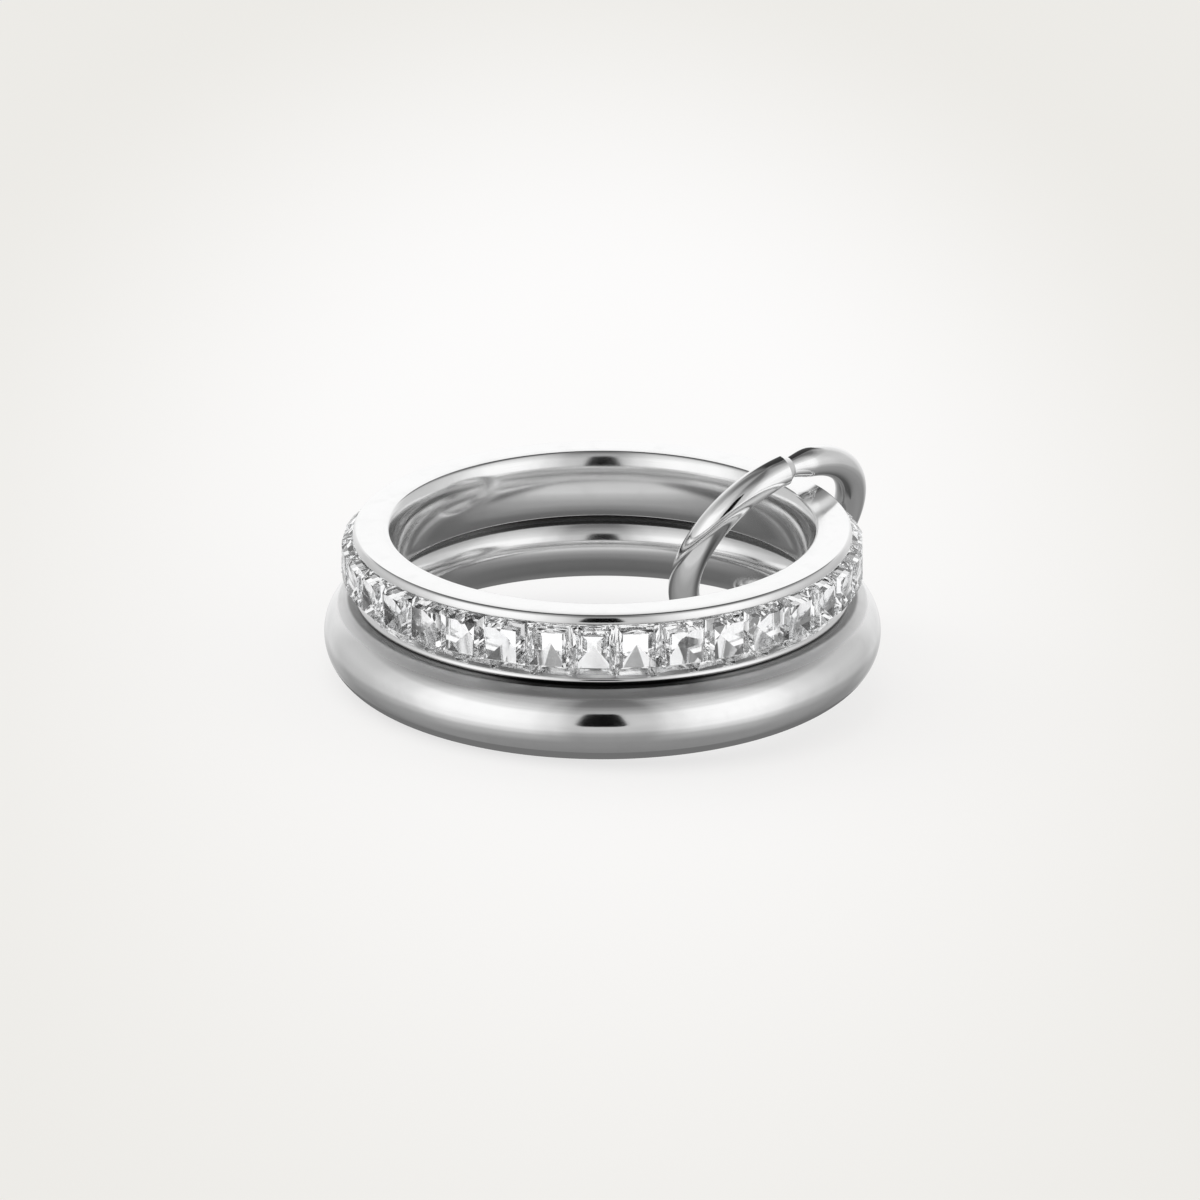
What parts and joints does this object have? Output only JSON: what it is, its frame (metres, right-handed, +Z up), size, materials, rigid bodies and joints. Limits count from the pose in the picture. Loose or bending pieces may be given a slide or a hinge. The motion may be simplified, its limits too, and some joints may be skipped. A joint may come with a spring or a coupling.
{
  "type": "linked double band ring",
  "caption": "Plain domed finger band and a channel-set stone band, held together by a small round-wire link that passes through both.",
  "frame": {"origin": "on the floor, straight under the centre of the plain band, with the ring lying on its side at rest", "axes": "+Z up from the floor, -Y towards the camera that took the picture, +X to its right; the bands' shared axis leans 4.3 degrees from +Z, because the link lies under the plain band at the back right"},
  "size_m": [0.0226, 0.0224, 0.009],
  "materials": {
    "polished_silver": "mirror polished silver",
    "crystal": "clear faceted stone"
  },
  "bodies": {
    "root": {"plain_band": "polished_silver", "stone_band": "polished_silver", "connector_link": "polished_silver", "stone_01": "crystal", "stone_02": "crystal", "stone_03": "crystal", "stone_04": "crystal", "stone_05": "crystal", "stone_06": "crystal", "stone_07": "crystal", "stone_08": "crystal", "stone_09": "crystal", "stone_10": "crystal", "stone_11": "crystal", "stone_12": "crystal", "stone_13": "crystal", "stone_14": "crystal", "stone_15": "crystal", "stone_16": "crystal", "stone_17": "crystal", "stone_18": "crystal", "stone_19": "crystal", "stone_20": "crystal", "stone_21": "crystal", "stone_22": "crystal", "stone_23": "crystal", "stone_24": "crystal", "stone_25": "crystal", "stone_26": "crystal", "stone_27": "crystal", "stone_28": "crystal", "stone_29": "crystal", "stone_30": "crystal", "stone_31": "crystal", "stone_32": "crystal", "stone_33": "crystal", "stone_34": "crystal", "stone_35": "crystal", "stone_36": "crystal"}
  },
  "joints": []
}
